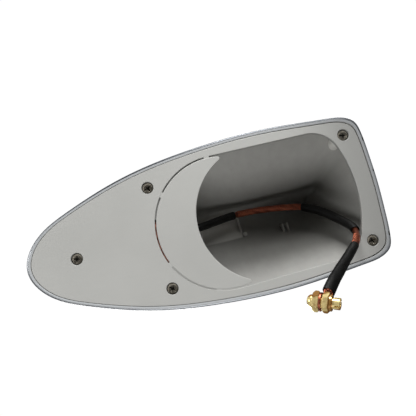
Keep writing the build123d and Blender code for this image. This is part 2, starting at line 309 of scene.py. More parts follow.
def piece(name, surfaces, finishes, replaces=(), sharp=32.0):
    """Joins closed surfaces into one object, merges their poles and rides it on the body."""
    points, faces, numbers = zip(*surfaces)
    starts = np.cumsum([0] + [len(block) for block in points])
    faces = np.concatenate([block + start for block, start in zip(faces, starts)])
    mesh = bpy.data.meshes.new(name)
    mesh.from_pydata(np.concatenate(points), [], faces)
    mesh.polygons.foreach_set("material_index", np.concatenate(numbers).astype(np.int32))
    work = bmesh.new()
    work.from_mesh(mesh)
    bmesh.ops.remove_doubles(work, verts=work.verts, dist=2e-7)
    bmesh.ops.recalc_face_normals(work, faces=work.faces)
    work.to_mesh(mesh)
    work.free()
    mesh.shade_smooth()
    mesh.set_sharp_from_angle(angle=np.radians(sharp))
    for finish in finishes:
        mesh.materials.append(finish)
    made = shown(name, mesh)
    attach(made, "root")
    if replaces:
        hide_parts(*replaces)
    return made


def dress(node, finish):
    """Gives its finish to a CAD piece that is shown as it is."""
    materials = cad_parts[node].data.materials
    materials.clear()
    materials.append(finish)


def polar_grid(radius, height, steps, centre=(0.0, 0.0), turn=0.0):
    """A profile of radius and height carried round Z: rows are angles, columns its points.

    Radius and height may also be grids that change with the angle.
    """
    angle = turns(steps)[:, None] + np.radians(turn)
    return stacked(
        centre[0] + radius * np.cos(angle), centre[1] + radius * np.sin(angle), height
    )


def strip(inner, outer, edge, low, high):
    """A flat strip between two lines of points: each cross-section runs from inner to outer.

    Its four edges are quarter circles of radius edge, with a holding point beside each. They
    shrink where the strip is narrower than 3.2 edges.
    """
    t = np.linspace(0, np.pi / 2, 5)
    side, rise = edge * np.sin(t) - edge, edge * (1 - np.cos(t))
    hold = edge + 0.15
    share = np.repeat([0, 1, 0], [1, 12, 11])[:, None]
    offset = [[hold, -hold], side, side[::-1], [-hold, hold], -side, -side[::-1]]
    offset = np.concatenate(offset)[:, None]
    height = [[low, low], low + rise, (high - rise)[::-1]]
    height += [[high, high], high - rise, (low + rise)[::-1]]
    along = (outer - inner)[:, None]
    width = np.linalg.norm(along, axis=-1, keepdims=True)
    room = np.minimum(1.0, width / (3.2 * edge))
    flat = inner[:, None] + along / np.maximum(width, 1e-9) * (share * width + offset * room)
    return stacked(flat[..., 0], flat[..., 1], np.concatenate(height))


def bar(inner, outer, edge, low, high):
    """A strip that ends where its two lines end, as one closed surface."""
    return capped_tube(place(strip(inner, outer, edge, low, high)))


# ---------------------------------------------------------------- finishes


class Signal:
    """An output socket of a finish; arithmetic on it adds Math nodes to that finish."""

    def __init__(self, finish, socket):
        self.finish, self.socket = finish, socket

    def __add__(self, other):
        return self.finish.math("ADD", self, other)

    def __sub__(self, other):
        return self.finish.math("SUBTRACT", self, other)

    def __rsub__(self, other):
        return self.finish.math("SUBTRACT", other, self)

    def __mul__(self, other):
        return self.finish.math("MULTIPLY", self, other)

    __radd__ = __add__
    __rmul__ = __mul__

    def step(self, low, high):
        """Rises smoothly from 0 at low to 1 at high."""
        values = {"Value": self, "From Min": low, "From Max": high}
        return self.finish.node("MapRange", values, interpolation_type="SMOOTHSTEP")


class Finish:
    """A node material: a Principled shader whose sockets take plain values or signals."""

    def __init__(self, name, colour=None, **settings):
        self.colour = colour
        self.material = bpy.data.materials.new(name)
        self.material.use_nodes = True
        self.tree = self.material.node_tree
        self.where = self.node("TexCoord", {}, "Object")
        self.set(**settings)

    def set(self, **settings):
        """Feeds the shader's sockets and returns the material."""
        for name, value in settings.items():
            self.feed(self.tree.nodes["Principled BSDF"].inputs[name.replace("_", " ")], value)
        return self.material

    def feed(self, socket, value):
        if isinstance(value, Signal):
            self.tree.links.new(value.socket, socket)
        else:
            socket.default_value = value

    def node(self, kind, values, output=0, **settings):
        made = self.tree.nodes.new("ShaderNode" + kind)
        for name, value in settings.items():
            setattr(made, name, value)
        for name, value in values.items():
            self.feed(made.inputs[name], value)
        return Signal(self, made.outputs[output])

    def math(self, operation, *terms):
        return self.node("Math", dict(enumerate(terms)), operation=operation)

    def together(self, operation, signals):
        """Several signals put together, one after the other, by an operation."""
        result, *others = signals
        for signal in others:
            result = self.math(operation, result, signal)
        return result

    def axis(self, name, source=None):
        """One coordinate of the place, or of another vector."""
        return self.node("SeparateXYZ", {"Vector": source or self.where}, name)

    def strand(self):
        """The map set by set_strand_map()."""
        return self.node("UVMap", {}, "UV", uv_map="strand")

    def noise(self, scale, detail, roughness=0.5, stretch=None, source=None):
        """Noise over the place, or over another vector, that may be stretched first."""
        source = source or self.where
        if stretch:
            source = self.node("Mapping", {"Vector": source, "Scale": stretch})
        values = {"Vector": source, "Scale": scale, "Detail": detail, "Roughness": roughness}
        return self.node("TexNoise", values)

    def shade(self, value):
        """A signal as it is, a colour with its alpha, or a number as so much of the own colour."""
        if isinstance(value, Signal):
            return value
        colour = value if isinstance(value, tuple) else tone(self.colour, value)
        return (*colour, 1.0)

    def blend(self, share, first, second):
        """Colour from first at share 0 to second at share 1, each one as shade() takes it."""
        values = {0: share, 6: self.shade(first), 7: self.shade(second)}
        return self.node("Mix", values, 2, data_type="RGBA")

    def bump(self, height, distance, strength):
        return self.node("Bump", {"Height": height, "Distance": distance, "Strength": strength})

    def along(self, axis, start):
        """How many millimetres a place lies from start along an axis."""
        ray = np.array(axis) / np.linalg.norm(axis) / MM
        values = {0: self.where, 1: tuple(ray)}
        far = self.node("VectorMath", values, "Value", operation="DOT_PRODUCT")
        return far - float(start @ ray)

    def near(self, spot, radius):
        """1 within radius metres of a spot, fading to 0 at its rim."""
        gap = self.node("VectorMath", {0: self.where, 1: spot}, "Value", operation="DISTANCE")
        return 1.0 - gap.step(radius * 0.6, radius)


def tone(colour, factor):
    return tuple(min(1.0, c * factor) for c in colour[:3])


def moulded_plastic(name, colour, roughness=0.48, cut=0.25):
    """Satin moulded plastic with a fine spark-eroded grain and faint flow clouds.

    It is darker at the cover's tail, and on walls from cut mm up, as painted shade.
    """
    finish = Finish(name, colour, Specular_IOR_Level=0.42)
    clouds = finish.noise(22.0, 3.0, 0.55)
    flow = finish.noise(9.0, 4.0, 0.6, stretch=(8.0, 60.0, 8.0))
    grit = finish.noise(2600.0, 2.0, 0.6)
    shade = (clouds * 0.65 + flow * 0.12 + grit * 0.23).step(0.25, 0.75)
    # painted shade: darker towards the cover's tail, and on walls from cut mm up
    tail = finish.axis("X").step(-0.085, -0.122)
    wall = finish.axis("Z").step(cut * MM, cut * 2.4 * MM)
    face = finish.blend(tail, finish.blend(shade, 0.94, 1.05), finish.blend(shade, 0.64, 0.69))
    return finish.set(
        Base_Color=finish.blend(wall, face, 0.6),
        Roughness=flow * 0.12 + (grit * 0.1 + (roughness - 0.11)),
        Normal=finish.bump(grit * 0.7 + clouds * 0.3, 0.00006, 0.5),
    )


def cavity_plastic(name, colour, pocket=1.0):
    """Bare inside of the shell: soft draw marks up its walls and fine dust.

    The pocket in front of the roof's rib is painted paler by the factor pocket, as painted light.
    """
    finish = Finish(name, colour, Specular_IOR_Level=0.35)
    draw = finish.noise(1.0, 3.0, 0.6, stretch=(260.0, 260.0, 14.0))
    clouds = finish.noise(30.0, 3.0, 0.55)
    grit = finish.noise(2200.0, 2.0, 0.6)
    shade = (draw * 0.5 + clouds * 0.35 + grit * 0.15).step(0.3, 0.7)
    # painted light: the pocket in front of the roof's rib, bounded on each axis, is made paler
    sides = [finish.axis(axis).step(dark, pale) for axis, dark, pale in LIT_POCKET]
    walls = finish.blend(shade, 0.93, 1.06)
    in_lit_pocket = finish.together("MULTIPLY", sides)
    return finish.set(
        Base_Color=finish.blend(in_lit_pocket, walls, pocket),
        Roughness=grit * 0.14 + 0.46,
        Normal=finish.bump(grit * 0.6 + draw * 0.4, 0.00008, 0.5),
    )


def silver_paint(name, colour):
    """Blue-silver body paint under lacquer, with metal flakes and faint orange peel.

    Its lip is painted darker, more so towards +Y, with a darker line along it: painted shade and
    dark reflection. A few dark chips lie at the tail.
    """
    finish = Finish(name, colour, Coat_Roughness=0.06, Coat_IOR=1.5)
    cells = {"Vector": finish.where, "Scale": 5200.0}
    flake = finish.node("SeparateColor", {"Color": finish.node("TexVoronoi", cells, "Color")})
    worn = finish.noise(900.0, 3.0, 0.6)
    spots = [finish.near(tuple(place(spot)), radius) for spot, radius in CHIPS]
    chipped = (finish.together("MAXIMUM", spots) * (worn * 0.9 + 0.55)).step(0.35, 0.6)
    height = finish.axis("Z")
    # painted shade and dark reflection: the lip darker below 1.7 mm, more so towards +Y, with a
    # darker line at its rounded outer edge
    lip = height.step(0.0017, 0.0011)
    side = finish.axis("Y").step(0.014, 0.030)
    lip_painted_shade = finish.blend(side, 0.6, 0.16)
    painted_dark_line = height.step(0.00003, 0.0003) * lip
    paint = finish.blend(flake * 0.8, 0.86, 1.14)
    paint = finish.blend(painted_dark_line, finish.blend(lip, paint, lip_painted_shade), (0.06, 0.072, 0.09))
    return finish.set(
        Base_Color=finish.blend(chipped, paint, (0.008, 0.009, 0.011)),
        Metallic=(1.0 - chipped) * 0.45,
        Roughness=flake * 0.1 + 0.26,
        Coat_Weight=(1.0 - chipped) * (1.0 - lip) * 0.85,
        Normal=finish.bump(finish.noise(420.0, 2.0), 0.00003, 0.25),
    )


def screw_steel(name, colour):
    """Oxidised steel, mottled grey-brown, with painted shade down in the recess and a painted
    highlight on the head's rim.
    """
    finish = Finish(name, colour)
    mottle = finish.noise(900.0, 4.0, 0.6)
    turned = finish.noise(2600.0, 2.0, stretch=(1, 1, 4))
    # painted shade: darker down in the cross recess
    recess_shade = finish.axis("Z").step(0.0012, 0.0019)
    # painted highlight: a pale, non-metal rim round each head, set off its axis
    rim = finish.axis("X", finish.strand()).step(1.85, 2.2)
    base = finish.blend(mottle, 0.65, 1.25)
    base = finish.blend(rim, base, 1.9)
    return finish.set(
        Metallic=(1.0 - rim) * 0.85,
        Base_Color=finish.blend(recess_shade * (1.0 - rim), base, 0.25),
        Roughness=mottle * 0.25 + 0.3,
        Normal=finish.bump(turned, 0.00004, 0.4),
    )


def copper(name, colour, wires=0.0):
    """Bare copper, browned in patches; wires is how many fine wires run along each strand, with
    painted shade between them.
    """
    finish = Finish(name, colour)
    patches = finish.noise(300.0, 4.0, 0.62)
    fine = finish.noise(3000.0, 2.0)
    height, dark = fine, patches
    if wires:
        across = finish.strand()
        line = finish.math("SINE", finish.axis("X", across) * (wires * 2 * np.pi)) * 0.5 + 0.5
        strand = finish.noise(1.0, 1.0, stretch=(0.9, 0.25, 1.0), source=across)
        height = line * 0.85 + fine * 0.15
        # painted shade between the wires, with real browning and strand-to-strand tone
        dark = patches * 0.35 + line * 0.3 + strand * 0.35
    return finish.set(
        Base_Color=finish.blend(dark.step(0.3, 0.7), 0.3, 1.25),
        Metallic=0.9,
        Roughness=patches * 0.25 + 0.25,
        Normal=finish.bump(height, 0.00006, 0.8),
    )


def shrink_sleeve(name, colour):
    """Black heat-shrink: satin, with faint wrinkles round it and rubbed grey patches."""
    finish = Finish(name, colour, Specular_IOR_Level=0.2)
    wrinkle = finish.noise(2.2, 3.0, 0.55, stretch=(3.0, 70.0, 1.0), source=finish.strand())
    rub = finish.noise(260.0, 4.0, 0.65)
    grit = finish.noise(2400.0, 2.0, 0.6)
    return finish.set(
        Base_Color=finish.blend(rub.step(0.45, 0.75), 0.75, 2.2),
        Roughness=rub * 0.3 + 0.3,
        Normal=finish.bump(wrinkle * 0.7 + grit * 0.15 + rub * 0.15, 0.00022, 0.7),
    )


def gold_brass(name, colour):
    """Gold-plated brass with tiny scratches, tarnished in patches, and browner on its flange and
    two sides as painted shade.
    """
    finish = Finish(name, colour, Metallic=0.5, Specular_IOR_Level=0.8)
    start = place(ADAPTER_AT)
    along, up = finish.along(ADAPTER_AXIS, start), finish.along((0, 1, 0), start)
    # painted shade: browner on the flange between the inner nut and the socket, and towards its two
    # sides across Y
    flange = along.step(2.9, 3.3) * along.step(4.7, 4.3)
    sides = up.step(2.4, 3.3) + up.step(-2.9, -3.7)
    flange_and_side_shade = finish.math("MAXIMUM", flange, sides)
    tarnish_and_shade = (finish.noise(420.0, 4.0, 0.6) + flange_and_side_shade * 0.4).step(0.45, 0.85)
    scratch = finish.noise(1.0, 3.0, 0.6, stretch=(900.0, 900.0, 4000.0))
    return finish.set(
        Base_Color=finish.blend(tarnish_and_shade, 1.06, (0.40, 0.20, 0.05)),
        Roughness=scratch * 0.14 + 0.17,
        Normal=finish.bump(scratch, 0.00003, 0.35),
    )


def solder_tin(name):
    """Frosted solder with small pits."""
    finish = Finish(name, Metallic=1.0)
    frost = finish.noise(1400.0, 4.0, 0.6)
    return finish.set(
        Base_Color=finish.blend(frost, (0.42, 0.42, 0.41), (0.68, 0.68, 0.66)),
        Roughness=frost * 0.3 + 0.25,
        Normal=finish.bump(frost, 0.0001, 0.4),
    )


def floor_paper(name, colour):
    """Matt paper, very faintly uneven."""
    finish = Finish(name, colour, Roughness=0.9, Specular_IOR_Level=0.2)
    tint = finish.noise(3.0, 2.0)
    return finish.set(Base_Color=finish.blend(tint, 0.99, 1.01))


# ---------------------------------------------------------------- settings


def field(kind, **more):
    """A maker of settings of one kind, from a name, a note and a default."""
    return lambda name, note, value: kind(name=name, description=note, default=value, **more)


size = field(bpy.props.FloatProperty, unit="LENGTH", precision=5)
paint = field(bpy.props.FloatVectorProperty, subtype="COLOR", size=3, min=0.0, max=1.0)
strength = field(bpy.props.FloatProperty)
number = field(bpy.props.IntProperty, min=4, max=16)


class ShellSettings(bpy.types.PropertyGroup):
    """Sizes and colours of the painted shell."""

    wall: size("Wall", "Thickness of the shell's wall", 0.00205)
    paint: paint("Paint", "Colour of the lacquered outside", (0.56, 0.585, 0.61))
    rim: paint("Rim", "Colour of the flat rim beside the plate", (0.44, 0.455, 0.465))
    bare: paint("Bare plastic", "Colour of the unpainted inside", (0.305, 0.302, 0.285))


class PlateSettings(bpy.types.PropertyGroup):
    """Sizes and colours of the base plate and its screws."""

    edge: size("Edge radius", "Rounding of the plate's edges", 0.00028)
    slit: size("Slit", "Width of the slit round the crescent", 0.00065)
    plastic: paint("Plastic", "Colour of the moulded plate", (0.43, 0.43, 0.41))
    steel: paint("Screw steel", "Colour of the screw heads", (0.18, 0.165, 0.135))


class LeadSettings(bpy.types.PropertyGroup):
    """Sizes and colours of the braided lead and its sleeves."""

    strands: number("Strands", "Twisted strands that make up the braid", 7)
    lay: size("Lay", "Length in which a strand goes once round", 0.021)
    copper: paint("Copper", "Colour of the braid and the copper sheet", (0.42, 0.125, 0.07))
    sleeve: paint("Sleeve", "Colour of the heat-shrink sleeves", (0.0034, 0.0034, 0.0031))


class AdapterSettings(bpy.types.PropertyGroup):
    """Sizes and colours of the adapter on the lead's end."""

    pitch: size("Thread pitch", "Distance between the stud's threads", 0.0005)
    brass: paint("Brass", "Colour of the plated nuts and stud", (1.0, 0.76, 0.34))


class StageSettings(bpy.types.PropertyGroup):
    """Light and floor."""

    key: strength("Lamps", "Strength of the soft lamps under the cover", 1.0)
    daylight: strength("Daylight", "Strength of the suns over the cover", 1.0)
    ambient: strength("Ambient", "Strength of the white surroundings", 0.052)
    floor: paint("Floor", "Colour of the floor", (0.90, 0.90, 0.89))


GROUPS = {
    "fin_shell": ShellSettings,
    "fin_plate": PlateSettings,
    "fin_lead": LeadSettings,
    "fin_adapter": AdapterSettings,
    "fin_stage": StageSettings,
}


# ---------------------------------------------------------------- pieces


class PlaceCamera(bpy.types.Operator):
    """Puts the camera under the cover, looking up into its open tail."""

    bl_idname = "fin_cover.place_camera"
    bl_label = "Camera"

    def execute(self, context):
        lens = bpy.data.cameras.new("camera")
        lens.sensor_width, lens.lens = SENSOR, LENS
        lens.clip_start, lens.clip_end = 0.005, 20.0
        camera = shown("camera", lens)
        turn = Matrix((CAMERA_RIGHT, CAMERA_UP, -CAMERA_FORWARD)).transposed().to_4x4()
        camera.matrix_world = Matrix.Translation(CAMERA_AT) @ turn
        context.scene.camera = camera
        return {"FINISHED"}


def points_of(mesh):
    """A mesh's points as rows of three numbers."""
    points = np.empty(len(mesh.vertices) * 3)
    mesh.vertices.foreach_get("co", points)
    return points.reshape(-1, 3)


def unit(vectors):
    return vectors / np.linalg.norm(vectors, axis=-1, keepdims=True)


class Route:
    """The lead's middle line, read from its curve, with three directions at each place."""

    def __init__(self, curve_object):
        mesh = bpy.data.meshes.new_from_object(curve_object)
        self.points = points_of(mesh)
        bpy.data.meshes.remove(mesh)
        steps = np.linalg.norm(np.diff(self.points, axis=0), axis=1)
        self.far = np.concatenate([[0.0], np.cumsum(steps)])
        self.length = self.far[-1]

    def spot(self, share):
        """Points at length shares."""
        far = share * self.length
        return np.stack([np.interp(far, self.far, column) for column in self.points.T], -1)

    def at(self, share, step=0.004):
        """Points, tangents and two directions square to them; the first leans towards +Y."""
        share = np.asarray(share, float)
        ahead, behind = np.clip(share + step, 0, 1), np.clip(share - step, 0, 1)
        tangent = unit(self.spot(ahead) - self.spot(behind))
        side = unit((0.0, 1.0, 0.0) - tangent[..., 1:2] * tangent)
        return self.spot(share), tangent, side, np.cross(tangent, side)

    def around(self, share, radius, angle):
        """Points at radius, in metres, and angle round the middle line."""
        middle, _, side, across = self.at(share)
        angle = angle[..., None]
        return middle + radius[..., None] * (np.cos(angle) * side + np.sin(angle) * across)

    def nearest(self, points):
        """For each point, the share of the route that lies nearest, and its angle round it."""
        shares = np.linspace(0, 1, 500)
        middle, _, side, across = self.at(shares)
        blocks = np.array_split(points, 40)
        near = [((block[:, None] - middle) ** 2).sum(-1).argmin(1) for block in blocks]
        near = np.concatenate(near)
        away = points - middle[near]
        return shares[near], np.arctan2((away * across[near]).sum(-1), (away * side[near]).sum(-1))


def set_strand_map(target, across, along):
    """Gives each corner of a mesh a map of how far it is round and along its strand."""
    mesh = target.data
    corner = np.empty(len(mesh.loops), np.int32)
    mesh.loops.foreach_get("vertex_index", corner)
    pairs = np.column_stack([across[corner], along[corner]]).astype(np.float32)
    mesh.uv_layers.new(name="strand").data.foreach_set("uv", pairs.ravel())


def wound_tubes(route, shares, radius, angle, half_wide, half_high, sides):
    """Oval tubes that follow lines given by radius and angle round the route, one to a row."""
    centre = route.around(shares, radius, angle)
    outward = unit(route.around(shares, radius + MM, angle) - centre)
    beside = np.cross(unit(np.gradient(centre, axis=1)), outward)
    across = half_wide * np.cos(turns(sides))[:, None]
    up = half_high * np.sin(turns(sides))[:, None]
    grid = centre[:, :, None] + MM * (beside[:, :, None] * across + outward[:, :, None] * up)
    return [capped_tube(tube) for tube in grid]


def twisted_strands(route, first, last, count, lay, dice):
    """Thick strands wound one way: each angle grows with length over lay, and swings slowly."""
    shares = np.linspace(first, last, max(12, int((last - first) * route.length / 0.0004)))
    run = shares * route.length
    phase = dice.uniform(0, 2 * np.pi, (count, 2))
    swing = 0.10 * np.sin(run * 420 + phase[:, :1]) + 0.06 * np.sin(run * 910 + phase[:, 1:])
    angle = 2 * np.pi * run / lay + turns(count)[:, None] + swing
    radius = (BRAID_D / 2 - 0.47 + 0.07 * np.sin(run * 650 + phase[:, 1:])) * MM
    return wound_tubes(route, np.broadcast_to(shares, angle.shape), radius, angle, 0.70, 0.44, 12)


def loose_wires(route, first, last, count, dice):
    """Fine wires that stray over the strands, each over a stretch and with a lay of its own."""
    wires = []
    lift = np.sin(np.linspace(0, np.pi, 40)) ** 0.5
    radius = (BRAID_D / 2 - 0.2 + 0.22 * lift) * MM
    for _ in range(count):
        middle = dice.uniform(first, last)
        reach = dice.uniform(0.01, 0.04)
        shares = np.linspace(max(first, middle - reach), min(last, middle + reach), 40)
        pace = dice.uniform(-1, 1) * 90 + 40
        angle = dice.uniform(0, 2 * np.pi) + pace * (shares - shares[0])
        wires += wound_tubes(route, shares[None], radius[None], angle[None], 0.085, 0.085, 6)
    return wires


def sleeve_grid(route, first, last, width, height, lean, seed):
    """A thin-walled oval tube on the route: uneven by slow waves, and turned in at both mouths."""
    shares = np.linspace(first, last, max(40, int((last - first) * route.length / 0.0005)))[:, None]
    turn = turns(40)
    t = np.linspace(0, 1, len(shares))[:, None]
    phase = np.random.default_rng(seed).uniform(0, 2 * np.pi, 6)
    waves = (
        np.sin(9 * t + phase[0] + turn)
        + 0.8 * np.sin(17 * t + phase[1] - 2 * turn)
        + 0.6 * np.sin(31 * t + phase[2] + 3 * turn)
        + 0.5 * np.sin(53 * t + phase[3] + turn)
    )
    half_wide = np.interp(t, np.linspace(0, 1, len(width)), width) / 2
    half_high = np.interp(t, np.linspace(0, 1, len(height)), height) / 2
    leant = turn - np.radians(lean)
    oval = 1 / np.sqrt((np.cos(leant) / half_wide) ** 2 + (np.sin(leant) / half_high) ** 2)
    outer = (oval + SLEEVE_WAVE * waves) * MM
    inner = outer - SLEEVE_WALL * MM
    middle = (outer + inner) / 2
    lip = 0.25 * MM / route.length
    share = [shares, shares[-1:] + lip, shares[::-1], shares[:1] - lip]
    radius = np.concatenate([outer, middle[-1:], inner[::-1], middle[:1]])
    share = np.broadcast_to(np.concatenate(share), radius.shape)
    return route.around(share, radius, np.broadcast_to(turn, radius.shape))


class MakeLead(bpy.types.Operator):
    """Lays the copper braid and its black sleeves along the lead's route."""

    bl_idname = "fin_cover.make_lead"
    bl_label = "Lead"

    def execute(self, context):
        settings = context.scene.fin_lead
        curve = bpy.data.curves.new("lead_core", "CURVE")
        curve.dimensions = "3D"
        spline = curve.splines.new("NURBS")
        spline.points.add(len(ROUTE) - 1)
        spline.points.foreach_set("co", np.column_stack([ROUTE, np.ones(len(ROUTE))]).ravel())
        spline.order_u = 3
        spline.use_endpoint_u = True
        curve.resolution_u = 24
        core = shown("lead_core", curve)
        route = Route(core)
        curve.bevel_depth = 0.42 * BRAID_D * MM
        curve.bevel_resolution = 5
        curve.use_fill_caps = True
        # painted shade: the core that shows between the strands gets half the copper's colour
        curve.materials.append(copper("core_copper_shaded", tone(settings.copper, 0.5)))
        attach(core, "root")
        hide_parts("lead_conductor")

        dice = np.random.default_rng(17)
        strands = []
        for first, last in BARE:
            strands += twisted_strands(route, first, last, settings.strands, settings.lay, dice)
            strands += loose_wires(route, first, last, 14, dice)
        wires = copper("braid_copper", settings.copper, wires=6)
        braid = piece("braid_strands", strands, [wires], sharp=60)
        share, angle = route.nearest(points_of(braid.data))
        rounds = angle / (2 * np.pi) - share * route.length / settings.lay
        set_strand_map(braid, rounds * settings.strands, share * 30)

        black = shrink_sleeve("sleeve_black", settings.sleeve)
        for name, form in SLEEVES.items():
            tube = [surface(sleeve_grid(route, *form))]
            sleeve = piece(name + "_skin", tube, [black], [name], 50)
            share, angle = route.nearest(points_of(sleeve.data))
            set_strand_map(sleeve, angle / (2 * np.pi), share * 6)
        return {"FINISHED"}


class MakeShell(bpy.types.Operator):
    """Shapes the painted fin, its bare inside, its bosses and the ribs under its roof."""

    bl_idname = "fin_cover.make_shell"
    bl_label = "Shell"

    def execute(self, context):
        settings = context.scene.fin_shell
        outside = silver_paint("shell_silver", settings.paint)
        # the bare inside, its pocket in front of the roof's rib painted 2.1 times paler as painted
        # light
        inside = cavity_plastic("shell_inside", settings.bare, 2.1)
        rim = moulded_plastic("rim_grey", settings.rim, 0.4)
        # the ribs, post and bosses take the bare inside's colour twice as bright: painted light
        lit_ribs = cavity_plastic("shell_ribs", tone(settings.bare, 2.0))
        fin = [self.fin(settings.wall / MM)]
        piece("fin_shell", fin, [outside, inside, rim], ["outer_shell"], 40)
        piece("roof_details", self.details(), [lit_ribs], sharp=40)
        return {"FINISHED"}

    def fin(self, wall):
        """Level outlines down the outside from the crest, round the lip, and up the inside.

        The lip is a quarter ellipse from the side to the flat rim.
        """
        rows = crown(np.linspace(0, 4, 17), 0.0, 0.0)[::-1]
        rows += [level(z, 0.0) for z in np.linspace(CROWN_BASE, LIP_TOP, 62)[1:]]
        for a in np.linspace(0, np.pi / 2, 8)[1:]:
            rows.append(level(LIP_TOP, LIP_INSET * (1 - np.cos(a)), LIP_TOP * (1 - np.sin(a))))
        painted = len(rows)
        rim = [(LIP_INSET + 0.15, 0.0), (wall - 0.2, 0.0), (wall - 0.06, 0.05), (wall, 0.2)]
        rows += [level(LIP_TOP, inset, z) for inset, z in rim]
        heights = np.linspace(1.2, CROWN_BASE - ROOF_DROP, 50)
        rows += [level(z + ROOF_DROP, wall, z) for z in heights]
        rows += crown(np.linspace(0, 3, 10)[1:], wall, ROOF_DROP)
        steps = np.arange(len(rows) - 1)
        numbers = np.select([steps < painted - 1, steps < painted + 2], [0, 2], 1)
        numbers = np.repeat(numbers, len(FULL_OUTLINE))
        return surface(place(np.array(rows)), wrap_rows=False, finish=numbers)

    def details(self):
        """Ribs, post and screw bosses that grow out of the wall's middle surface."""
        made = [
            self.rib(-19.2, 1.1, 43.2, 46.9),
            self.rib(-42.0, 0.9, 44.0, 55.5, -6.4),
            self.rib(-44.6, 0.9, 44.0, 55.5, -6.4),
            self.boss(-20.9, -7.0, 1.1, 40.5, 44.5),
        ]
        for (x, y, _), top in zip(SCREWS, BOSS_TOPS):
            made.append(self.boss(x, y, BOSS_R, BOSS_LOW, top))
        return made

    def rib(self, x, thick, low, high, inner=None):
        """A thin web across the fin: from wall to wall, or from the -Y wall to the place inner."""
        z = np.linspace(low, high, 24)[:, None]
        reach = np.maximum(wall_reach(np.full_like(z, x), z), 0.05)
        far = reach if inner is None else np.maximum(inner, 0.05 - reach)
        half = thick / 2 - 0.12
        offset = np.array([0.12, 0, 0, 0.12, -0.12, 0, 0, -0.12])
        side = np.array([-half, -half + 0.1, half - 0.1, half])
        side = np.concatenate([side, side[::-1]])
        y = np.where(np.arange(8) < 4, -reach, far) + offset
        return capped_tube(place(stacked(x + side * 1.12, y, z)))

    def boss(self, x, y, radius, low, high):
        """A round post, pressed against the wall's middle surface where it would leave the fin."""
        z = np.concatenate([[low, low, low + 0.15], np.linspace(low + 0.5, high, 14)])
        r = np.concatenate([[0.0, radius - 0.15, radius], np.full(14, radius)])
        grid = polar_grid(r, z, 40, (x, y))
        reach = wall_reach(grid[..., 0], grid[..., 2])
        grid[..., 1] = np.clip(grid[..., 1], -reach, reach)
        return capped_tube(place(np.swapaxes(grid, 0, 1)))


def arc(centre_x, radius, angle, centre_y=0.0):
    """Plan points on a circle at angles."""
    return np.column_stack([centre_x + radius * np.cos(angle), centre_y + radius * np.sin(angle)])


def opening_line():
    """The rear opening's +Y half: nose circle, straight side, round corner, shallow tail arc."""
    end_x, end_y = OPENING_END
    sag = end_x - OPENING_TAIL_X
    tail_r = (end_y**2 + sag**2) / (2 * sag)
    tail_x = OPENING_TAIL_X + tail_r
    start = np.array((ROUND_X, ROUND_R))
    side = unit(np.array(OPENING_END) - start)
    inward = np.array((side[1], -side[0]))
    inward *= -np.sign(inward[1])
    base = start + inward * OPENING_CORNER_R - (tail_x, 0)
    half_b = base @ side
    reach = -half_b + np.sqrt(half_b**2 - base @ base + (tail_r - OPENING_CORNER_R) ** 2)
    corner = start + inward * OPENING_CORNER_R + side * reach
    first = np.arctan2(-inward[1], -inward[0])
    last = np.arctan2(corner[1], corner[0] - tail_x)
    nose = arc(ROUND_X, ROUND_R, np.linspace(0, np.pi / 2, 90))
    straight = start + side * np.linspace(0, reach, 80)[1:-1, None]
    bend = arc(corner[0], OPENING_CORNER_R, np.linspace(first, last, 60), corner[1])
    tail = arc(tail_x, tail_r, np.linspace(last, np.pi, 50))
    return np.concatenate([nose, straight, bend, tail])


def by_angle(half, centre_x, angle):
    """Points of a half outline and its mirror image at angles from a place on the middle line."""
    closed = np.concatenate([half, half[-2::-1] * (1, -1)]) - (centre_x, 0)
    seen = np.unwrap(np.arctan2(closed[:, 1], closed[:, 0]))
    return arc(centre_x, np.interp(angle, seen, np.hypot(*closed.T)), angle)


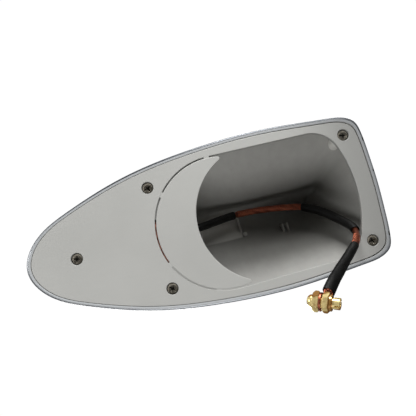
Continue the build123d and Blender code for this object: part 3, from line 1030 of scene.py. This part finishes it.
class MakePlate(bpy.types.Operator):
    """Moulds the base plate with its rear opening, its crescent on bridges, and screw seats."""

    bl_idname = "fin_cover.make_plate"
    bl_label = "Base plate"

    def execute(self, context):
        settings = context.scene.fin_plate
        plastic = moulded_plastic("plate_grey", settings.plastic, cut=0.05)
        panel = moulded_plastic("panel_grey", settings.plastic)
        edge, slit = settings.edge / MM, settings.slit / MM
        angle = np.linspace(0, 2 * np.pi, 720, endpoint=False)
        hole = by_angle(opening_line(), PLATE_MIDDLE_X, angle)
        inset = np.interp(HALF_OUTLINE[:, :1], (-70, -20), (PLATE_INSET, NOSE_INSET))
        rim = HALF_OUTLINE * (1 - inset * (2 / LENGTH, 1 / HALF_WIDTH))
        rim = by_angle(rim, PLATE_MIDDLE_X, angle)
        blank = [surface(place(strip(hole, rim, edge, 0.0, PLATE_T)))]
        self.drill(piece("base_plate_skin", blank, [plastic], ["base_plate"]))
        crescent = [self.crescent(edge, slit), *self.bridges(slit)]
        piece("crescent_panel", crescent, [panel])
        piece("screw_seats", self.seats(), [plastic])
        dress("antenna_plate", copper("sheet_copper", context.scene.fin_lead.copper))
        tape = copper("tape_copper", (0.85, 0.36, 0.26))
        piece("copper_tape", [self.in_slit(slit, *TAPE)], [tape])
        webs = [self.in_slit(slit, *web) for web in WEBS]
        piece("slit_webs", webs, [panel])
        return {"FINISHED"}

    def drill(self, plate):
        """Cuts the five counterbores, each a round hole whose mouth flares out in a small arc."""
        t = np.linspace(0, np.pi / 2, 4)
        wide = SEAT_R + SEAT_FLARE
        radius = np.concatenate([[0.0, wide], wide - SEAT_FLARE * np.sin(t), [SEAT_R, 0.0]])
        top = PLATE_T + 1
        height = np.concatenate([[-1.0, -1.0], SEAT_FLARE * (1 - np.cos(t)), [top, top]])
        cuts = [np.swapaxes(polar_grid(radius, height, 72, (x, y)), 0, 1) for x, y, _ in SCREWS]
        cutter = piece("cutter", [surface(place(cut), wrap_rows=False) for cut in cuts], [])
        cut = plate.modifiers.new("drill", "BOOLEAN")
        cut.operation, cut.solver, cut.object = "DIFFERENCE", "EXACT", cutter
        graph = bpy.context.evaluated_depsgraph_get()
        drilled = bpy.data.meshes.new_from_object(plate.evaluated_get(graph))
        plate.modifiers.clear()
        old, plate.data = plate.data, drilled
        drilled.name = "base_plate_skin"
        drilled.set_sharp_from_angle(angle=np.radians(10))
        bpy.data.meshes.remove(old)
        bpy.data.objects.remove(cutter)

    def crescent(self, edge, slit):
        """The panel between two arcs; near each tip they close in as a half ellipse does."""
        outer_r = ROUND_R - slit
        outer_end = np.arccos((CRESCENT_TIP_X - ROUND_X) / outer_r)
        inner_end = np.arccos((CRESCENT_TIP_X - CRESCENT_CUT_X) / CRESCENT_CUT_R)
        share = np.sin(np.linspace(-np.pi / 2, np.pi / 2, 260))
        outer = arc(ROUND_X, outer_r, share * outer_end)
        inner = arc(CRESCENT_CUT_X, CRESCENT_CUT_R, share * inner_end)
        middle = (outer + inner) / 2
        to_tip = np.minimum(1 - np.abs(share), TIP_SHARE) / TIP_SHARE
        keep = np.sqrt(1 - (1 - to_tip) ** 2)[:, None]
        outer, inner = (middle + (line - middle) * keep for line in (outer, inner))
        return bar(inner, outer, edge, 0.0, PLATE_T)

    def bridges(self, slit):
        """Four thin tabs across the slit, a hair below the faces that they join."""
        made = []
        for angle in np.radians(BRIDGE_ANGLES):
            ray = np.array((np.cos(angle), np.sin(angle)))
            beside = np.array((-ray[1], ray[0]))
            width = np.linspace(-BRIDGE_HALF_WIDTH, BRIDGE_HALF_WIDTH, 8)[:, None]
            across = width * beside + (ROUND_X, 0)
            inner = across + ray * (ROUND_R - slit - BRIDGE_HOLD)
            made.append(bar(inner, across + ray * (ROUND_R + BRIDGE_HOLD), 0.1, 0.04, 1.4))
        return made

    def in_slit(self, slit, first, last, depth):
        """A thin strip in the slit, from one angle to another, sunk below the plate's face."""
        angle = np.radians(np.linspace(first, last, 60))
        middle, half = ROUND_R - slit / 2, slit / 2 + 0.05
        inner, outer = (arc(ROUND_X, middle + side, angle) for side in (-half, half))
        return bar(inner, outer, 0.02, depth, depth + 0.3)

    def seats(self):
        """Rings that carry the screw heads behind the plate."""
        radius = np.array([1.5, 2.68, SEAT_R, 2.9, 4.3, 4.3, 4.2, 1.6, 1.5])
        height = np.array([2.6, 2.6, 2.45, 2.3, 2.3, 4.3, 4.4, 4.4, 4.3])
        return [surface(place(polar_grid(radius, height, 48, (x, y)))) for x, y, _ in SCREWS]


class MakeScrews(bpy.types.Operator):
    """Turns the five pan-head screws with their cross recesses."""

    bl_idname = "fin_cover.make_screws"
    bl_label = "Screws"

    def execute(self, context):
        steel = screw_steel("screw_steel", context.scene.fin_plate.steel)
        screws = [self.screw(*screw) for screw in SCREWS]
        made = piece("screw_set", screws, [steel], ["base_screws"], 45)
        # each point's distance from its head's axis, set off a little, for the painted highlight
        # rim
        axes = place([(x, y, 0) for x, y, _ in SCREWS])[:, :2]
        gaps = points_of(made.data)[:, None, :2] - axes + HIGHLIGHT_SHIFT
        away = np.hypot(*gaps.T).min(0)
        set_strand_map(made, away / MM, np.zeros_like(away))
        return {"FINISHED"}

    def screw(self, x, y, turn):
        """Face, side, seat and shank as one profile; a cross with sloping walls is sunk in it."""
        t = np.linspace(0, np.pi / 2, 6)
        face = np.linspace(0.0, 2.0, 18)
        shank = [(2.45, 2.6), (1.35, 2.62), (1.3, 2.8), (1.3, 10.8), (0.9, 11.5), (0.0, 11.5)]
        crest = np.column_stack([face, 0.98 - 0.02 * face**2])
        side = np.column_stack([2.05 + 0.4 * np.sin(t), 0.9 + 0.4 * (1 - np.cos(t))])
        radius, height = np.concatenate([crest, side, shank]).T
        angle = turns(96)[:, None]
        u, v = np.abs(radius * np.cos(angle)), np.abs(radius * np.sin(angle))
        arm = np.minimum(np.maximum(u, v) / 1.45, 2.0)
        slot = np.minimum(u, v) / 0.4
        depth = 1.1 * np.clip(1.35 - arm, 0, 1) ** 0.6 * np.clip((1.2 - slot) * 2.2, 0, 1)
        on_face = np.arange(len(radius)) < len(face)
        grid = polar_grid(radius, height + depth * on_face, 96, (x, y), turn)
        return surface(place(np.swapaxes(grid, 0, 1)), wrap_rows=False)


def on_adapter(points):
    """Adapter coordinates, Z along its axis and X towards the lead, to the frame's metres."""
    z = unit(np.array(ADAPTER_AXIS))
    x = unit(np.array(TOWARDS_LEAD) - z * (z @ TOWARDS_LEAD))
    return place(np.asarray(points) @ np.array([x, np.cross(z, x), z]) + ADAPTER_AT)


class MakeAdapter(bpy.types.Operator):
    """Turns the plated adapter: two nuts, the threaded stud, its slotted socket and the ring."""

    bl_idname = "fin_cover.make_adapter"
    bl_label = "Adapter"

    def execute(self, context):
        settings = context.scene.fin_adapter
        brass = gold_brass("plated_brass", settings.brass)
        red = copper("ring_copper", context.scene.fin_lead.copper)
        stud = [self.stud(settings.pitch / MM), *self.socket()]
        piece("nut_outer", [self.nut(-2.9)], [brass], ["clamp_nut_a"], 28)
        piece("nut_inner", [self.nut(0.9)], [brass], ["clamp_nut_b"], 28)
        piece("stud", stud, [brass], ["adapter_stud"], 35)
        piece("ring", [self.ring(), *self.tongue()], [red], ["ring_terminal"], 40)
        dress("solder_joint", solder_tin("solder_grey"))
        return {"FINISHED"}

    def nut(self, low):
        """Hexagon: half width over the cosine to the nearest flat, cut by a cone at each face."""
        z = np.concatenate([[0, 0, 0], np.linspace(0, 0.6, 7)])
        z = np.concatenate([z, NUT_T - z[::-1]])
        hexagon = NUT_FLAT / np.cos(np.mod(turns(144)[:, None], np.pi / 3) - np.pi / 6)
        cone = NUT_CORNER - 0.62 + 1.05 * np.minimum(z, NUT_T - z)
        radius = np.minimum(hexagon, cone)
        radius[:, :3] = (2.25, 2.45, 3.2)
        radius[:, -3:] = (3.2, 2.45, 2.25)
        z[0], z[-1] = 0.2, NUT_T - 0.2
        return surface(on_adapter(polar_grid(radius, z + low, 144)))

    def stud(self, pitch):
        """Domed end, threaded shank, flange and bore.

        The thread's radius is a wave of the angle less the height over the pitch.
        """
        end = [(0, -5.2), (0.9, -5.2), (1.35, -5.1), (1.9, -4.75)]
        end += [(2.3, -4.2), (2.42, -3.7), (2.45, -3.0), (2.3, -2.9)]
        flange = [(2.3, 3.3), (2.95, 3.3), (3.1, 3.42), (3.1, 4.18), (2.98, 4.3), (2.1, 4.3)]
        bore = [(2.1, 5.35), (1.3, 5.4), (1.3, 4.15), (0.6, 4.05), (0, 4.05)]
        z = np.linspace(-2.8, 3.2, 110)
        wave = np.cos(turns(72)[:, None] - 2 * np.pi * z / pitch)
        shank = np.column_stack([z, z])
        profile = np.concatenate([end, shank, flange, bore])
        radius = np.repeat(profile[None, :, 0], 72, 0)
        radius[:, len(end) : len(end) + len(z)] = THREAD_R + THREAD_DEPTH * wave
        grid = polar_grid(radius, profile[:, 1], 72)
        return surface(on_adapter(np.swapaxes(grid, 0, 1)), wrap_rows=False)

    def socket(self):
        """Four fingers of the slotted socket, each a quarter of a ring less its slot's share."""
        inner, outer = SOCKET_RADII
        t = np.linspace(0, np.pi / 2, 4)
        edge = 0.18
        fall, rise = edge * (1 - np.cos(t)), SOCKET_TOP - edge + edge * np.sin(t)
        radius = np.concatenate([[inner, outer], outer - fall, (inner + fall)[::-1]])
        height = np.concatenate([[SOCKET_LOW, SOCKET_LOW], rise, rise[::-1]])
        slot = np.arcsin(0.35 / radius)
        made = []
        for start in turns(4):
            turn = start + np.linspace(0, 1, 16)[:, None] * (np.pi / 2 - 2 * slot) + slot
            grid = stacked(radius * np.cos(turn), radius * np.sin(turn), height)
            made.append(capped_tube(on_adapter(grid)))
        return made

    def ring(self):
        """A washer whose section is a soft square that swells towards the lead."""
        angle = turns(96)[:, None]
        c, s = np.cos(turns(20)), np.sin(turns(20))
        size = (np.abs(c) ** 4 + np.abs(s) ** 4) ** -0.25
        swell = 1 + 0.25 * np.exp(-((np.minimum(angle, 2 * np.pi - angle) / 0.7) ** 2))
        height = 0.42 * s * size * swell + 0.06 * np.cos(angle)
        return surface(on_adapter(polar_grid(RING_R + 0.62 * c * size, height, 96)))

    def tongue(self):
        """Strands of the braid, gathered flat from the sleeve's mouth to the ring's rim."""
        made = []
        t = np.linspace(0, 1, 20)[:, None]
        r = 0.26 - 0.04 * t
        for k in np.linspace(-1, 1, 7):
            y = k * (1.15 + 0.25 * t) + 0.12 * np.sin(5 * t + 3 * k) + r * np.cos(turns(10))
            z = 0.16 * np.cos(7 * k) + 0.12 * np.sin(4 * t + k) + 1.5 * r * np.sin(turns(10))
            made.append(capped_tube(on_adapter(stacked(3.1 + 3.6 * t, y, z))))
        return made


class SetStage(bpy.types.Operator):
    """Sets the pale floor, the white surroundings and the soft lights."""

    bl_idname = "fin_cover.set_stage"
    bl_label = "Stage"

    def execute(self, context):
        settings = context.scene.fin_stage
        scene = context.scene
        scene.view_settings.view_transform = "Standard"
        world = bpy.data.worlds.new("surroundings")
        world.use_nodes = True
        scene.world = world
        nodes, links = world.node_tree.nodes, world.node_tree.links
        path = nodes.new("ShaderNodeLightPath")
        seen = nodes.new("ShaderNodeMapRange")
        seen.inputs["To Min"].default_value = settings.ambient
        seen.inputs["To Max"].default_value = WHITE_SURROUNDINGS
        links.new(path.outputs["Is Camera Ray"], seen.inputs["Value"])
        links.new(seen.outputs[0], nodes["Background"].inputs["Strength"])
        nodes["Background"].inputs["Color"].default_value = (1, 1, 1, 1)

        corners = np.array([(-1, -1), (1, -1), (1, 1), (-1, 1)]) * FLOOR_HALF
        mesh = bpy.data.meshes.new("floor")
        mesh.from_pydata(np.column_stack([corners, np.full(4, FLOOR_Z)]), [], [(0, 1, 2, 3)])
        floor = shown("floor", mesh)
        mesh.materials.append(floor_paper("floor_paper", settings.floor))
        floor.visible_diffuse = floor.visible_glossy = False

        for name, spot, diameter, power in LAMPS:
            light = self.light(name, "AREA", spot, power * settings.key)
            light.shape, light.size = "DISK", diameter
        for name, spot, power in SUNS:
            self.light(name, "SUN", spot, power * settings.daylight).angle = np.radians(25)
        return {"FINISHED"}

    def light(self, name, kind, spot, power):
        """Puts a light at a spot and points it at the open tail."""
        light = bpy.data.lights.new(name, kind)
        light.energy = power
        made = shown(name, light)
        made.location = spot
        made.rotation_euler = (LIT_SPOT - Vector(spot)).to_track_quat("-Z", "Y").to_euler()
        return light


OPERATORS = (PlaceCamera, MakeLead, MakeShell, MakePlate, MakeScrews, MakeAdapter, SetStage)


class CoverPanel(bpy.types.Panel):
    """Lists the settings and the pieces of the antenna cover."""

    bl_idname = "VIEW3D_PT_fin_cover"
    bl_label = "Antenna cover"
    bl_space_type = "VIEW_3D"
    bl_region_type = "UI"
    bl_category = "Antenna cover"

    def draw(self, context):
        for name, group in GROUPS.items():
            box = self.layout.box()
            for setting in group.__annotations__:
                box.prop(getattr(context.scene, name), setting)
        for operator in OPERATORS:
            self.layout.operator(operator.bl_idname)


def register():
    for name, group in GROUPS.items():
        bpy.utils.register_class(group)
        setattr(bpy.types.Scene, name, bpy.props.PointerProperty(type=group))
    for made in (*OPERATORS, CoverPanel):
        bpy.utils.register_class(made)


def unregister():
    for made in reversed((*OPERATORS, CoverPanel)):
        bpy.utils.unregister_class(made)
    for name, group in GROUPS.items():
        delattr(bpy.types.Scene, name)
        bpy.utils.unregister_class(group)


def main():
    register()
    bpy.ops.fin_cover.place_camera()
    bpy.ops.fin_cover.make_lead()
    bpy.ops.fin_cover.make_shell()
    bpy.ops.fin_cover.make_plate()
    bpy.ops.fin_cover.make_screws()
    bpy.ops.fin_cover.make_adapter()
    bpy.ops.fin_cover.set_stage()


if __name__ == "__main__":
    main()
